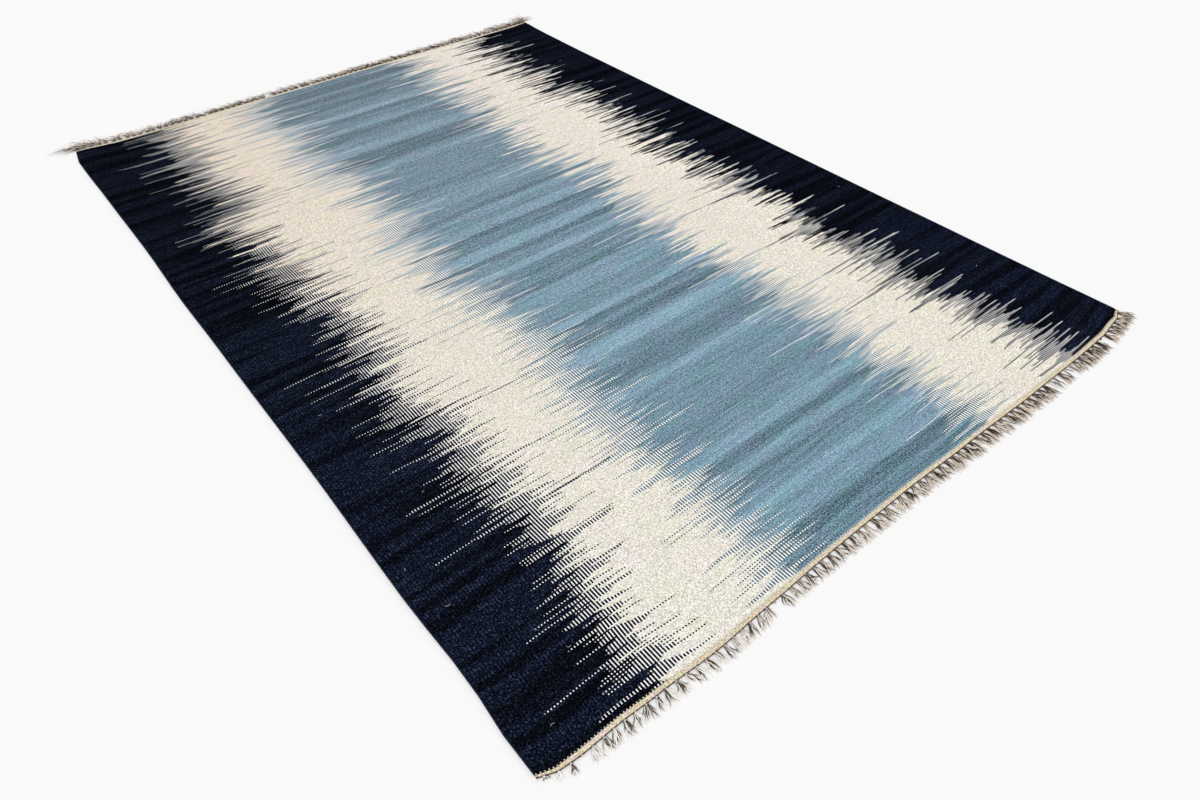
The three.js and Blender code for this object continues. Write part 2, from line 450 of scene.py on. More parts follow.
# A column of the chart as a curve over the distance along.
def chartCurve(column, at):
    table = bandEdges
    lowest = min(row[column] for row in table)
    highest = max(row[column] for row in table)
    first = table[0]["along"]
    last = table[-1]["along"]
    node = newNode("ShaderNodeFloatCurve", {"Value": at.between(first, last, 0.0, 1.0)})
    curve = node.mapping.curves[0]
    for index, row in enumerate(table):
        x = (row["along"] - first) / (last - first)
        y = (row[column] - lowest) / (highest - lowest)
        if index in (0, len(table) - 1):
            point = curve.points[0 if index == 0 else -1]
            point.location = (x, y)
        else:
            curve.points.new(x, y)
    node.mapping.update()
    return output(node) * (highest - lowest) + lowest


# A row of uneven feathers along the edge. Share is 1 in the middle of each and 0 where it meets
# the next, and the three lots are the feather's own.
def feathers(at):
    inputs = {"W": at / dyeing["featherEvery"], "Scale": 1.0, "Randomness": 1.0}
    near, rim = (
        newNode("ShaderNodeTexVoronoi", inputs, voronoi_dimensions="1D", feature=feature)
        for feature in ("F1", "DISTANCE_TO_EDGE")
    )
    fromRim = output(rim, "Distance")
    share = fromRim / (fromRim + output(near, "Distance") + 0.001)  # never divides by nothing
    own = newNode("ShaderNodeSeparateColor", {"Color": output(near, "Color")})
    return share, output(own, 0), output(own, 1), output(own, 2)


def makeDyedWeft():
    inputs = dict.fromkeys(("Across", "Parity", "Pick", "Pick Along"), 0.0)
    given, end = shaderGroup("dyed weft", inputs, ("Navy", "Blue", "Past Navy"))
    pick = given["Pick"]
    at = given["Pick Along"]
    side = given["Across"].calc("SIGN")
    columns = ("navy", "blue", "merge", "length", "plain")
    charted = {column: chartCurve(column, at) for column in columns}

    # The feathers, and how far this pick is out beside them
    share, longLot, leftLot, rightLot = feathers(at)
    longest = dyeing["featherMost"] - dyeing["featherLeast"]
    tips = (longLot ** dyeing["featherRarity"]) * longest + dyeing["featherLeast"]
    tips = tips * charted["length"]
    merged = drift(at / dyeing["mergeEvery"] + noisePlace["merge"], detail=1.0)
    merged = merged.rise(*dyeing["mergeFrom"]) * charted["merge"]
    shift = ((share ** dyeing["featherPoint"]) * merged.fromOne() + merged) * tips
    pickShift = at.between(*dyeing["pickShiftAlong"], *dyeing["pickShift"])
    shift = shift * ((lot(pick, lots["shift"]) - dyeing["pickShiftMiddle"]) * pickShift + 1)
    stray = lot(pick, lots["stray"]) ** dyeing["strayRarity"]
    shift = shift + stray * dyeing["strayShift"]

    # Plain picks, one at a time or in twos
    perLine = at.calc("GREATER_THAN", side.pickSide(*dyeing["plainPairsFrom"])) + 1
    line = (pick / perLine).calc("FLOOR")
    plainShare = charted["plain"] * side.pickSide(*dyeing["plainSides"])
    plainShare = plainShare.calc("MINIMUM", dyeing["plainMost"])
    plain = lot(line, lots["plain"]).calc("LESS_THAN", plainShare)
    shift = shift * plain.fade(1.0, dyeing["plainShift"])

    # Where both edges lie
    ownLot = leftLot + (rightLot - leftLot) * side.pickSide(0.0, 1.0)
    place = (ownLot - 0.5) * (2 * dyeing["ownPlace"])
    wayBack = pick * 2 + given["Parity"]
    place = place + (lot(wayBack, lots["wander"]) - 0.5) * (2 * dyeing["pickWander"])
    farther = at.between(*dyeing["plainPlaceAlong"], *dyeing["plainPlaceGrows"])
    plainLot = lot(line, side * lots["sideStep"] + lots["plainPlace"])
    plainPlace = (plainLot - dyeing["plainPlaceMiddle"]) * (farther * dyeing["plainPlace"])
    place = place + plain * plainPlace
    row = at / dyeing["wanderEvery"]
    innerRow = side * noiseStep["innerSide"] + noisePlace["innerEdge"]
    wander = drift(row, side * noiseStep["side"], detail=1.0) * dyeing["edgeWander"]
    innerWander = drift(row, innerRow, detail=1.0) * dyeing["edgeWander"]
    navyWider = side * at.between(*dyeing["navyWiderAlong"], dyeing["navyWider"], 0.0)
    plainEdge = charted["navy"] + wander - navyWider
    blueEdge = charted["blue"] + innerWander - place - side * dyeing["blueWider"]

    across = given["Across"] + (given["Parity"] * 2 - 1) * shift
    fromMiddle = across.calc("ABSOLUTE")
    navyBleed = dyeing["navyBleed"]
    blueBleed = dyeing["blueBleed"]
    return closeGroup(end, {
        "Navy": (fromMiddle - (plainEdge + place)).rise(-navyBleed, navyBleed),
        "Blue": (fromMiddle - blueEdge).rise(-blueBleed, blueBleed).fromOne(),
        "Past Navy": given["Across"].calc("ABSOLUTE") - plainEdge,
    })


# How tightly the weft is packed: 0 at the near left corner, rising to 1 away from it.
def makePacking():
    inputs = {"Across": 0.0, "Along": 0.0, "Across Share": 0.6, "Loose": -1250.0, "Tight": 300.0}
    given, end = shaderGroup("packing", inputs, ("Packing",))
    away = given["Across"] * given["Across Share"] + given["Along"]
    return closeGroup(end, {"Packing": away.rise(given["Loose"], given["Tight"])})


# Floats of the darker yarn are the wider ones wherever they alternate with cream, and where the
# weft is packed tightly some picks show more of it than others.
def makeFloatLean():
    inputs = dict.fromkeys(("Across", "Along", "Packing"), 0.0)
    given, end = shaderGroup("float lean", inputs, ("Lean",))
    columns = ("navy", "blue", "lean")
    charted = {column: chartCurve(column, given["Along"]) for column in columns}
    fromMiddle = given["Across"].calc("ABSOLUTE")
    side = given["Across"].calc("SIGN")
    pastCream = fromMiddle - (charted["navy"] + charted["blue"]) * 0.5
    run = dyeing["leanRun"]
    turn = dyeing["leanTurn"]
    thinning = (fromMiddle - charted["navy"]).between(-run, run, -1.0, 1.0)
    navyLean = charted["lean"] + side * dyeing["farSideLean"]
    navyLean = navyLean + thinning * side.pickSide(*dyeing["leanSlope"])
    lean = pastCream.between(-turn, turn, -dyeing["blueLean"], navyLean)
    row = (given["Along"] / dyeing["leanEvery"]).calc("FLOOR") * noiseStep["leanRow"]
    change = drift(given["Across"] / dyeing["leanAlongPick"], row, detail=1.0)
    packed = given["Packing"] ** dyeing["leanPacked"] * side.pickSide(*dyeing["leanChange"])
    change = change * (packed + dyeing["leanChangeLeast"])
    change = change * pastCream.rise(-turn, turn).fade(dyeing["leanChangeBlue"], 1.0)
    return closeGroup(end, {"Lean": (lean + change) * side})


packing = makePacking()
dyedWeft = makeDyedWeft()
floatLean = makeFloatLean()


# Materials

# Wool and cotton scatter light softly, so every yarn has the same dull surface.
def newMaterial(name, roughness=0.95, specular=0.03):
    material = bpy.data.materials.new(name)
    material.use_nodes = True
    shader = material.node_tree.nodes["Principled BSDF"]
    shader.inputs["Roughness"].default_value = roughness
    shader.inputs["Specular IOR Level"].default_value = specular
    return material, material.node_tree


def finishMaterial(material, colour, height=None, relief=0.0):
    tree = material.node_tree
    shader = tree.nodes["Principled BSDF"]
    feed(tree, shader.inputs["Base Color"], colour)
    if height is not None:
        inputs = {"Height": height, "Distance": relief, "Strength": 1.0}
        feed(tree, shader.inputs["Normal"], output(newNode("ShaderNodeBump", inputs)))
    tidyTree(tree)
    return material


# Noise over two distances, with the size that its patches have in each.
def patches(first, second, sizes, start=0.0, **shape):
    return drift(first / sizes[0] + start, second / sizes[1], **shape)


# A place on a piece in mm, and the fuzz of its yarn there.
def placeAndFuzz(tree, fuzzSizes):
    x, y, _ = (part / mm for part in objectPlace(tree))
    sizes = dict(zip(("Across Size", "Along Size"), fuzzSizes))
    return x, y, useGroup(yarnFuzz, {"Across": x, "Along": y, **sizes})["Fuzz"]


woolDyes = {
    "navyNear": dye(6, 10, 23),
    "navyFar": dye(9, 12, 19),
    # navyLight is the painted highlight on raised navy floats, and the paler fuzz of the navy edge yarn
    "navyLight": dye(66, 78, 108),
    "navyDark": dye(4, 5, 8),
    "navyBesideCream": dye(3, 4, 7),
    "blueNear": dye(118, 145, 160),
    "blueFar": dye(117, 133, 144),
    "blueBesideCream": dye(72, 94, 102),
    "creamNearLeft": dye(231, 229, 219),
    "creamNearRight": dye(230, 224, 211),
    "creamFarLeft": dye(222, 207, 189),
    "creamFarRight": dye(232, 226, 219),
    # painted highlights on single cream floats beside dye, and painted shade on cream floats between
    # navy ones
    "creamHighlightBesideNavy": dye(252, 252, 252),
    "creamShadedBetweenNavy": dye(234, 232, 229),
    "creamHighlightBesideBlue": dye(251, 253, 252),
    "lastPick": dye(222, 212, 190),
}
# Tints that a colour is multiplied by, at the two ends of a change of hue.
woolTints = {
    "blue": ((0.90, 1.02, 0.97, 1.0), (1.05, 0.98, 1.05, 1.0)),
    "cream": ((0.99, 1.01, 0.95, 1.0), (1.02, 0.985, 1.02, 1.0)),
    "run": 0.7,
}
# How much each kind of unevenness lightens the yarn, on top of a base. Height lightens the tops of the
# floats and leaves painted shade where they dip between others, and clump paints a highlight where
# yarns stand prouder. In navy the sum, times the float's height, sets the painted highlights on the
# raised floats.
lightness = {
    "cream": {"own": 0.36, "grain": 0.7, "clump": 0.3, "line": 0.07, "height": 0.22, "base": 0.85},
    "blue": {
        "streak": 0.19, "fading": 0.14, "line": 0.55, "grain": 1.3, "clump": 0.8, "middle": 0.4,
        "base": 0.99,
    },
    # own is each float's own tone; height adds painted shade between the floats
    "blueFloatOwnAndShade": {"own": 0.4, "height": 0.26, "base": 0.85},
    "navy": {"highlightLot": 0.6, "line": 0.4, "grain": 1.5, "clump": 0.5, "base": -0.1},
}
weaveLook = {
    "strayAcross": 1.5,  # mm, how far the rows and columns stray from straight
    "strayAlong": 5,
    "strayAcrossSizes": (90, 400),
    "strayAlongSizes": (240, 110),
    "looseClump": 0.3,  # how much of the clumps shows where the weft is loose
    "fadingSizes": (8, 300),
    "besideDye": 0.92,  # how fully a cream float beside a dyed one takes on its painted highlight and, among navy, its painted shade
    "shadeFromNavyEdge": (-40.0, 70.0),  # mm past the navy's edge, over which cream floats go from painted shade between navy floats to a painted highlight
    "blueBesideCream": 0.85,
    "navyBesideCream": 0.8,
    "depthSizes": (38, 900),  # of the navy's darkest streaks, along and across
    "darkFrom": (-0.05, 0.2),
    # painted highlights on the navy floats' tops: fewer in the darkest streaks and where the weft is
    # packed
    "fewHighlightsFrom": (-0.1, 0.25),
    "highlightRarity": 3,
    "highlightsInDark": 0.35,
    "highlightsByPacking": (1.1, 0.5),
    "lastPickWidth": 1.9,  # mm
    "relief": 0.5 * mm,
    "grainRelief": 1.2,
}


# Tints a colour towards one of two others as a change runs from -1 to 1.
def tint(colour, change, tints):
    run = woolTints["run"]
    both = mixColour(change.between(-run, run, 0.0, 1.0), *tints)
    return mixColour(1.0, colour, both, blend="MULTIPLY")


def makeWeaveMaterial():
    material, tree = newMaterial("dyed wool weave", specular=0.0)
    look = weaveLook
    uv = newNode("ShaderNodeUVMap", tree=tree, uv_map="OFBake")
    shareAcross, shareAlong, _ = split(output(uv))
    flatAcross = (shareAcross - 0.5) * (kilim["width"] / mm)
    flatAlong = (shareAlong - 0.5) * (kilim["length"] / mm)
    across = flatAcross + patches(flatAlong, flatAcross, look["strayAcrossSizes"]) * look["strayAcross"]
    along = flatAlong + patches(flatAcross, flatAlong, look["strayAlongSizes"]) * look["strayAlong"]
    place = {"Across": across, "Along": along}
    packed = useGroup(packing, place)["Packing"]
    lean = useGroup(floatLean, {**place, "Packing": packed})["Lean"]
    pitches = {"Warp Pitch": kilim["warpPitch"] / mm, "Pick Pitch": kilim["pickPitch"] / mm}
    cells = useGroup(weaveCells, {**place, **pitches, "Odd Share": lean})
    onPick = {name: cells[name] for name in ("Parity", "Pick")}
    atPick = {"Across": across, **onPick, "Pick Along": cells["Pick Along"]}
    dyed = useGroup(dyedWeft, atPick)
    # The same place on the pick that comes back beside this one
    beside = useGroup(dyedWeft, {**atPick, "Parity": cells["Parity"].fromOne()})
    change = useGroup(yarnChange, {**place, **onPick})

    # The yarn's unevenness, the streaks where it goes from one dye lot to the next, and the floats'
    # height, which sets painted shade and painted highlights
    uneven = {
        "own": cells["Own"] - 0.5,
        "highlightLot": cells["Own"] ** look["highlightRarity"],
        "height": cells["Height"],
        "line": change["Line"],
        "grain": change["Grain"],
        "clump": change["Clump"] * packed.fade(look["looseClump"], 1.0),
        "streak": held(tree, "streak"),
        "fading": patches(cells["Pick Along"], flatAcross, look["fadingSizes"], detail=3.0),
        "middle": shareAlong * shareAlong.fromOne(),
    }

    # Cream, mottled where the undyed wool isn't all one white, with a painted highlight on its single
    # floats beside navy and blue, and painted shade where they lie between navy floats
    near = mixColour(shareAcross, woolDyes["creamNearLeft"], woolDyes["creamNearRight"])
    far = mixColour(shareAcross, woolDyes["creamFarLeft"], woolDyes["creamFarRight"])
    cream = tint(mixColour(shareAlong, near, far), change["Hue"], woolTints["cream"])
    # painted shade where the floats dip between their neighbours, lighter on their tops
    cream = scaleColour(cream, weigh(uneven, lightness["cream"]))
    # painted shade on cream floats between navy ones, giving way to a painted highlight past the navy's
    # edge
    shadeBetweenNavy = dyed["Past Navy"].rise(*look["shadeFromNavyEdge"]).fromOne() * packed
    highlightAndShadeAmongNavy = mixColour(shadeBetweenNavy, woolDyes["creamHighlightBesideNavy"], woolDyes["creamShadedBetweenNavy"])
    besideNavy = dyed["Navy"].fromOne() * beside["Navy"] * look["besideDye"]
    besideBlue = dyed["Blue"].fromOne() * beside["Blue"] * look["besideDye"]
    cream = mixColour(besideNavy, cream, highlightAndShadeAmongNavy)
    cream = mixColour(besideBlue, cream, woolDyes["creamHighlightBesideBlue"])

    # Blue, with painted shade where its floats dip between others, and deeper in the single floats that
    # stand among the cream
    blue = mixColour(shareAlong, woolDyes["blueNear"], woolDyes["blueFar"])
    blue = tint(blue, change["Hue"], woolTints["blue"])
    light = weigh(uneven, lightness["blue"]) * weigh(uneven, lightness["blueFloatOwnAndShade"])
    blue = scaleColour(blue, light)
    alone = beside["Blue"].fromOne() * look["blueBesideCream"]
    blue = mixColour(alone, blue, woolDyes["blueBesideCream"])

    # Navy, nearly black in the deepest streaks, with painted highlights on the tops of the raised
    # floats
    depthPlace = cells["Pick Along"], flatAcross, look["depthSizes"], noisePlace["depth"]
    depth = patches(*depthPlace, detail=2.0)
    navy = mixColour(shareAlong, woolDyes["navyNear"], woolDyes["navyFar"])
    navy = mixColour(depth.rise(*look["darkFrom"]), navy, woolDyes["navyDark"])
    # painted highlights: lighter navy on the tops of the raised floats
    navyHighlight = weigh(uneven, lightness["navy"]) * uneven["height"]
    navyHighlight = navyHighlight * depth.rise(*look["fewHighlightsFrom"]).fade(1.0, look["highlightsInDark"])
    navyHighlight = navyHighlight * packed.fade(*look["highlightsByPacking"])
    navy = mixColour(navyHighlight.calc("MAXIMUM", 0.0), navy, woolDyes["navyLight"])
    alone = beside["Navy"].fromOne() * look["navyBesideCream"]
    navy = mixColour(alone, navy, woolDyes["navyBesideCream"])

    # The last pick at each end shows the heading's yarn on every other warp.
    colour = mixColour(dyed["Blue"], cream, blue)
    colour = mixColour(dyed["Navy"], colour, navy)
    fromEnd = (shareAlong * -2 + 1).calc("ABSOLUTE").fromOne() * (kilim["length"] / mm / 2)
    tooth = fromEnd.calc("LESS_THAN", look["lastPickWidth"]) * cells["Parity"]
    colour = mixColour(tooth, colour, woolDyes["lastPick"])
    height = uneven["height"] + uneven["grain"] * look["grainRelief"]
    return finishMaterial(material, colour, height, look["relief"])


weaveMaterial = makeWeaveMaterial()

headingLook = {
    "fuzzSizes": (3.2, 1.1),  # mm, across and along, as are the other sizes
    "green": dye(216, 214, 178),
    "warm": dye(222, 200, 176),
    "pink": dye(224, 206, 202),
    "patchSizes": (14, 8),
    "patchRun": 0.6,
    "pinkSizes": (19, 10),
    "pinkFrom": (0.0, 0.5),
    "grainSizes": (4.0, 3.2),
    "light": {"fuzz": 0.5, "grain": 0.8, "base": 0.66},
    "lightAlong": (-1000.0, 1000.0),
    "lighter": (1.0, 1.14),
    "relief": 0.4 * mm,
}


def makeHeadingMaterial():
    material, tree = newMaterial("undyed cotton")
    look = headingLook
    x, y, fuzz = placeAndFuzz(tree, look["fuzzSizes"])
    run = look["patchRun"]
    patch = patches(x, y, look["patchSizes"], detail=1.0).between(-run, run, 0.0, 1.0)
    pinker = patches(x, y, look["pinkSizes"], noisePlace["pinker"], detail=1.0)
    grain = patches(x, y, look["grainSizes"], detail=1.0, roughness=0.9)
    colour = mixColour(patch, look["green"], look["warm"])
    colour = mixColour(pinker.rise(*look["pinkFrom"]), colour, look["pink"])
    light = weigh({"fuzz": fuzz, "grain": grain}, look["light"])
    light = light * y.between(*look["lightAlong"], *look["lighter"])
    return finishMaterial(material, scaleColour(colour, light), fuzz, look["relief"])


headingMaterial = makeHeadingMaterial()

# The first of each pair is for tone 0, and the second for tone 1.
fringeLook = {
    "fuzzSizes": (0.9, 2.2),
    "pale": (dye(250, 248, 244), dye(214, 198, 180)),
    "dark": (dye(92, 78, 66), dye(46, 32, 22)),
    "darkFrom": (0.66, 0.42),  # yarns whose own number is above this are dark, a painted shadow between the twisted cords
    "darkBlend": 0.1,
    "darkFadesOver": (0.6, 1.1),  # shares of a yarn's reach
    # painted shade at the roots of the fringe and on the knots
    "root": (dye(78, 50, 28), dye(26, 18, 12)),
    "rootShadeReach": 0.4,
    "light": {"fuzz": 0.6, "base": 0.7},
}
yarnRelief = 0.3 * mm


# Each pale yarn of the fringe has its own grey. Dark yarns are painted shadow between the twisted
# cords, and the roots and knots are painted darker as painted shade.
def makeFringeMaterial():
    material, tree = newMaterial("knotted warp yarn")
    look = fringeLook
    _, _, fuzz = placeAndFuzz(tree, look["fuzzSizes"])
    own, reach, tone = (held(tree, name) for name in ("own", "reachShare", "tone"))
    darkFrom = tone.fade(*look["darkFrom"])
    shadowYarn = own.rise(darkFrom, darkFrom + look["darkBlend"])
    shadowYarn = shadowYarn * reach.rise(*look["darkFadesOver"]).fromOne()
    pale = mixColour(tone, *look["pale"])
    colour = mixColour(shadowYarn, pale, mixColour(tone, *look["dark"]))
    # painted shade at the roots, strongest where the tone is darkest
    rootShade = reach.rise(0.0, look["rootShadeReach"]).fromOne() * tone
    colour = mixColour(rootShade, colour, mixColour(own, *look["root"]))
    colour = scaleColour(colour, weigh({"fuzz": fuzz}, look["light"]))
    return finishMaterial(material, colour, fuzz, yarnRelief)


fringeMaterial = makeFringeMaterial()


# One yarn between two colours, where the fuzz runs from 0 to 1.
def makeYarnMaterial(name, first, last, fuzzSizes, share=1.0):
    material, tree = newMaterial(name)
    _, _, fuzz = placeAndFuzz(tree, fuzzSizes)
    return finishMaterial(material, mixColour(fuzz * share, first, last), fuzz, yarnRelief)


# A real twined thread, coloured darker so that it also carries the painted shade under the heading's
# edge
threadAndShadeMaterial = makeYarnMaterial("dark twined thread with painted shade", dye(34, 25, 18), dye(96, 76, 56), (5.0, 1.0))
navyYarn = woolDyes["navyNear"], woolDyes["navyLight"]
selvedgeMaterial = makeYarnMaterial("navy wool edge", *navyYarn, (1.2, 1.2), share=0.4)
lintMaterial = finishMaterial(newMaterial("pale lint")[0], dye(206, 204, 198))
print("materials made")


# Lines of the rug, read from the frame

lineReading = {
    "knotGap": 4 * mm,  # corners of a heading closer than this belong to one knot
    "sideGap": 20 * mm,
    "outside": 0.48,  # shares of the rug's width and length, for the cloth's sides between its ends
    "betweenEnds": 0.487,
}


def clusters(points, axis, gap):
    points = points[np.argsort(points[:, axis])]
    breaks = np.flatnonzero(np.diff(points[:, axis]) > gap) + 1
    return np.split(points, breaks)


def nodeCorners(name):
    return np.array([corner.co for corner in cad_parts[name].data.vertices])


# A heading's outer and inner lines, with one point for each knot and one for each corner.
def headingLines(name, side):
    stations = clusters(nodeCorners(name), 0, lineReading["knotGap"])
    outer = np.array([station[np.argmax(side * station[:, 1])][:2] for station in stations])
    inner = np.array([station[np.argmin(side * station[:, 1])][:2] for station in stations])
    return outer, inner


nearOuter, nearInner = headingLines("heading_near", -1)
farOuter, farInner = headingLines("heading_far", 1)
nearLevel = nearInner[:, 1].mean()
farLevel = farInner[:, 1].mean()


# The cloth's side line, from the near corner to the far one.
def sideLine(side):
    corners = nodeCorners("cloth")
    beside = side * (corners[:, 0] - rugMiddle.x) > lineReading["outside"] * kilim["width"]
    between = np.abs(corners[:, 1]) < lineReading["betweenEnds"] * kilim["length"]
    stations = clusters(corners[beside & between], 1, lineReading["sideGap"])
    edge = [station[np.argmax(side * station[:, 0])][:2] for station in stations]
    corner = 0 if side < 0 else -1
    return np.array([nearOuter[corner], nearInner[corner], *edge, farInner[corner], farOuter[corner]])


leftSide = sideLine(-1)
rightSide = sideLine(1)


def ease(share):
    share = np.clip(share, 0, 1)
    return share * share * (3 - 2 * share)


def lineAt(line, x):
    return np.interp(x, line[:, 0], line[:, 1])


def sideAt(line, y):
    return np.interp(y, line[:, 1], line[:, 0])


# The place on the floor of a point of the cloth, given by its shares across and along. The picks
# follow the bow of each end, less and less over the first endBow metres.
endBow = 0.35


def clothPlace(across, along):
    straight = nearLevel + (farLevel - nearLevel) * along
    nearPull = 1 - ease((straight - nearLevel) / endBow)
    farPull = 1 - ease((farLevel - straight) / endBow)
    y = straight
    for _ in range(3):  # x and y lean on each other, and settle after a few rounds
        left = sideAt(leftSide, y)
        right = sideAt(rightSide, y)
        x = left + (right - left) * across
        nearBow = lineAt(nearInner, x) - nearLevel
        farBow = lineAt(farInner, x) - farLevel
        y = straight + nearPull * nearBow + farPull * farBow
    return x, y


# The gentle waves that a rug keeps on a hard floor, never below it.
waves = {"height": 1.1 * mm, "size": 0.38, "flatness": 0.8, "place": 4.7, "base": 0.5}


def liftAt(x, y):
    place = Vector((x / waves["size"], y / waves["size"] * waves["flatness"], waves["place"]))
    return waves["height"] * max(0.0, waves["base"] + noise.noise(place))


liftArray = np.vectorize(liftAt)


# Meshes

def addMesh(name, points, faces=(), edges=(), uv=None, values=None):
    mesh = bpy.data.meshes.new(name)
    mesh.from_pydata([tuple(point) for point in points], list(edges), list(faces))
    if uv is not None:
        layer = mesh.uv_layers.new(name="OFBake")
        corners = np.empty(len(mesh.loops), np.int32)
        mesh.loops.foreach_get("vertex_index", corners)
        layer.data.foreach_set("uv", np.asarray(uv, np.float32)[corners].ravel())
    for label, column in (values or {}).items():
        layer = mesh.attributes.new(label, "FLOAT", "POINT")
        layer.data.foreach_set("value", np.asarray(column, np.float32))
    if len(faces):
        mesh.shade_smooth()
    piece = bpy.data.objects.new(name, mesh)
    scene.collection.objects.link(piece)
    return piece


# Faces between rings of points, one ring after another, with the given faces closing both ends.
def loftFaces(ringCount, ringSize, endFaces):
    faces = []
    for here in range(0, (ringCount - 1) * ringSize, ringSize):
        there = here + ringSize
        for corner in range(ringSize):
            beside = (corner + 1) % ringSize
            faces.append((here + corner, here + beside, there + beside, there + corner))
    last = (ringCount - 1) * ringSize
    faces += [tuple(face) for face in endFaces]
    faces += [tuple(last + corner for corner in reversed(face)) for face in endFaces]
    return faces


# The cloth: one sheet with rounded selvedges, its places across and along kept in its UV map

sheetMesh = {"across": 110, "along": 300, "sideAngles": (45, 0, -45)}

# The clearest streaks in the blue, lighter above 0 and darker below. Lengths are in mm.
streakBlur = 6
streaks = chart("along height tone", [
    (1132, 50, -1.0), (1094, 18, 1.0), (1067, 28, -1.2), (1000, 31, -1.1), (910, 29, 2.2),
    (881, 24, -1.2), (809, 30, 1.3), (770, 42, -1.1), (670, 46, 1.4), (595, 80, -1.5),
    (520, 28, 1.4), (330, 22, -0.9), (244, 55, 0.9), (158, 25, -1.5), (133, 23, 1.1),
    (64, 40, 1.2), (31, 24, -1.7), (-4, 35, -1.0), (-46, 44, 1.5), (-82, 25, -1.8),
    (-143, 23, 1.9), (-182, 50, -0.9), (-244, 25, -1.5), (-291, 66, 0.8), (-409, 23, 1.7),
    (-432, 22, -1.5), (-475, 30, -1.9), (-528, 46, 1.9), (-616, 50, -1.2), (-674, 26, 1.5),
    (-828, 41, -0.6), (-907, 29, 1.3), (-944, 28, -1.5), (-971, 24, 1.1), (-1006, 41, -0.8),
    (-1064, 29, 1.7), (-1113, 35, 0.8), (-1148, 30, -1.7), (-1186, 24, -1.0),
])


def streakTone(alongShare):
    along = (alongShare - 0.5) * kilim["length"] / mm
    tone = np.zeros_like(along)
    for streak in streaks:
        outside = np.abs(along - streak["along"]) - streak["height"] / 2
        tone += streak["tone"] * (1 - ease(outside / streakBlur + 0.5))
    return tone


def makeCloth():
    columns = sheetMesh["across"]
    rows = sheetMesh["along"]
    radius = kilim["thickness"] / 2
    angles = np.radians(sheetMesh["sideAngles"])
    level = np.linspace(0, 1, columns + 1)
    flat = np.ones(columns + 1)
    rounded = len(angles)
    # A ring runs over the top from left to right, round the right side, back below and up the left.
    across = np.concatenate([level, np.ones(rounded), level[::-1], np.zeros(rounded)])
    inset = np.concatenate([flat * 0, np.cos(angles), flat * 0, -np.cos(angles)])
    height = np.concatenate([flat, np.sin(angles), -flat, -np.sin(angles)])
    along = np.linspace(0, 1, rows + 1)
    shareAlong, shareAcross = np.meshgrid(along, across, indexing="ij")
    x, y = clothPlace(shareAcross, shareAlong)
    # The flat of the sheet ends where its rounded sides begin.
    flatShare = 1 - 2 * radius / kilim["width"]
    middle = (sideAt(leftSide, y) + sideAt(rightSide, y)) / 2
    x = middle + (x - middle) * flatShare + inset * radius
    z = radius + height * radius + liftArray(x, y)
    points = np.stack([x, y, z], -1).reshape(-1, 3)
    uv = np.stack([shareAcross, shareAlong], -1).reshape(-1, 2)
    below = 2 * columns + 1 + rounded
    endFaces = [(i, below - i, below - i - 1, i + 1) for i in range(columns)]
    ringSize = len(across)
    endFaces.append((0, *range(ringSize - 1, below - 1, -1)))
    endFaces.append((columns, *range(columns + rounded + 1, columns, -1)))
    faces = loftFaces(rows + 1, ringSize, endFaces)
    cloth = addMesh("weave", points, faces, uv=uv, values={"streak": streakTone(shareAlong.ravel())})
    cloth.data.materials.append(weaveMaterial)
    return cloth


cloth = makeCloth()
print("cloth made:", len(cloth.data.polygons), "faces")


# Geometry Nodes

# Runs a geometry tree on a piece and keeps the result as a plain mesh.
def runNodes(name, source, group, values):
    modifier = source.modifiers.new("nodes", "NODES")
    modifier.node_group = group
    for item in group.interface.items_tree:
        if item.item_type == "SOCKET" and item.in_out == "INPUT" and item.name in values:
            modifier[item.identifier] = values[item.name]
    bpy.context.view_layer.update()
    evaluated = source.evaluated_get(bpy.context.evaluated_depsgraph_get())
    mesh = bpy.data.meshes.new_from_object(evaluated)
    mesh.name = name
    source.modifiers.remove(modifier)
    bpy.data.objects.remove(source)
    piece = bpy.data.objects.new(name, mesh)
    scene.collection.objects.link(piece)
    print(name, "made:", sum(len(face.vertices) - 2 for face in mesh.polygons), "triangles")
    return piece


def geometryGroup(name, sizes):
    shape = "NodeSocketGeometry"
    inputs = {"Geometry": (shape, None), "Material": ("NodeSocketMaterial", None)}
    inputs.update({label: (number, size) for label, size in sizes.items()})
    return newGroup(name, "GeometryNodeTree", inputs, {"Geometry": shape})


# A Geometry node's first output, with the node named by the end of its kind.
def geo(kind, inputs, **settings):
    return output(newNode("GeometryNode" + kind, inputs, **settings))


def finishGeometry(end, shape, material):
    shape = geo("RealizeInstances", {"Geometry": shape})
    shape = geo("SetMaterial", {"Geometry": shape, "Material": material})
    return closeGroup(end, {"Geometry": shape})


def attribute(tree, name):
    return geo("InputNamedAttribute", {"Name": name}, tree=tree, data_type="FLOAT")


def alongCurve(tree, name):
    return output(newNode("GeometryNodeSplineParameter", tree=tree), name)


def store(shape, name, value):
    inputs = {"Geometry": shape, "Name": name, "Value": value}
    return geo("StoreNamedAttribute", inputs, data_type="FLOAT", domain="POINT")


# A number between two others for each point, the same on each run.
def chance(low, high, seed):
    node = newNode("FunctionNodeRandomValue", {"Seed": seed}, data_type="FLOAT")
    feed(seed.tree, node.inputs[2], low)
    feed(seed.tree, node.inputs[3], high)
    return output(node, 1)


def circle(radius, sides):
    return geo("CurvePrimitiveCircle", {"Resolution": sides, "Radius": radius}, mode="RADIUS")


